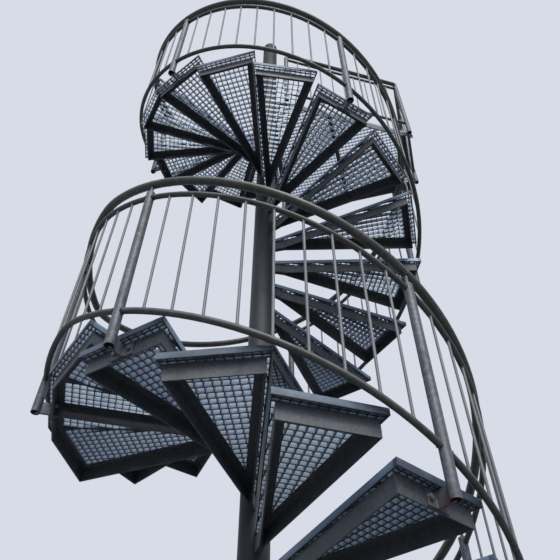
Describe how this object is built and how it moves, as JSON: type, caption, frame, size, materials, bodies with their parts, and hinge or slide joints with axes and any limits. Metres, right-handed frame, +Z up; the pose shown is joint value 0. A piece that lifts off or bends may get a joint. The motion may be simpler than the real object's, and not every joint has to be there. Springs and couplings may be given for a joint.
{
  "type": "spiral fire escape stair tower",
  "caption": "External spiral fire escape of galvanised steel: central column, open grating treads, a landing, an exit platform, and a barred guard with handrail.",
  "frame": {"origin": "centre of the base flange's underside, on the stair's axis, at ground level", "axes": "+Z up along the column, +Y towards the wall that the exit platform joins, +X to the right when facing that wall"},
  "size_m": [2.3143, 2.3732, 8.39],
  "materials": {
    "base_zinc": "hot-dip galvanised steel, weathered and dull",
    "column_zinc": "hot-dip galvanised steel, weathered and dull",
    "carrier_zinc": "hot-dip galvanised steel, weathered and dull",
    "grating_zinc": "hot-dip galvanised steel, weathered and dull",
    "post_zinc": "hot-dip galvanised steel, weathered and dull",
    "handrail_zinc": "hot-dip galvanised steel, weathered and dull",
    "guard_zinc": "hot-dip galvanised steel, weathered and dull"
  },
  "bodies": {
    "root": {"base_plate": "base_zinc", "column_core": "column_zinc", "column_top": "column_zinc", "column_cap": "column_zinc", "tread_01": "carrier_zinc", "tread_02": "carrier_zinc", "tread_03": "carrier_zinc", "tread_04": "carrier_zinc", "tread_05": "carrier_zinc", "tread_06": "carrier_zinc", "tread_07": "carrier_zinc", "tread_08": "carrier_zinc", "tread_09": "carrier_zinc", "tread_10": "carrier_zinc", "tread_11": "carrier_zinc", "tread_12": "carrier_zinc", "tread_13": "carrier_zinc", "tread_14": "carrier_zinc", "tread_15": "carrier_zinc", "tread_16": "carrier_zinc", "tread_17": "carrier_zinc", "tread_18": "carrier_zinc", "landing_frame": "carrier_zinc", "tread_20": "carrier_zinc", "tread_21": "carrier_zinc", "tread_22": "carrier_zinc", "tread_23": "carrier_zinc", "tread_24": "carrier_zinc", "tread_25": "carrier_zinc", "tread_26": "carrier_zinc", "tread_27": "carrier_zinc", "tread_28": "carrier_zinc", "tread_29": "carrier_zinc", "tread_30": "carrier_zinc", "tread_31": "carrier_zinc", "tread_32": "carrier_zinc", "tread_33": "carrier_zinc", "tread_34": "carrier_zinc", "tread_35": "carrier_zinc", "tread_36": "carrier_zinc", "tread_37": "carrier_zinc", "tread_38": "carrier_zinc", "platform_frame": "carrier_zinc", "lower_gratings": "grating_zinc", "landing_grating": "grating_zinc", "upper_gratings": "grating_zinc", "platform_grating": "grating_zinc", "lower_posts": "post_zinc", "upper_posts": "post_zinc", "platform_posts": "post_zinc", "lower_handrail": "handrail_zinc", "upper_handrail": "handrail_zinc", "platform_handrail": "handrail_zinc", "lower_guard": "guard_zinc", "landing_guard": "guard_zinc", "upper_guard": "guard_zinc", "platform_guard": "guard_zinc", "wall_plates": "base_zinc"}
  },
  "joints": []
}
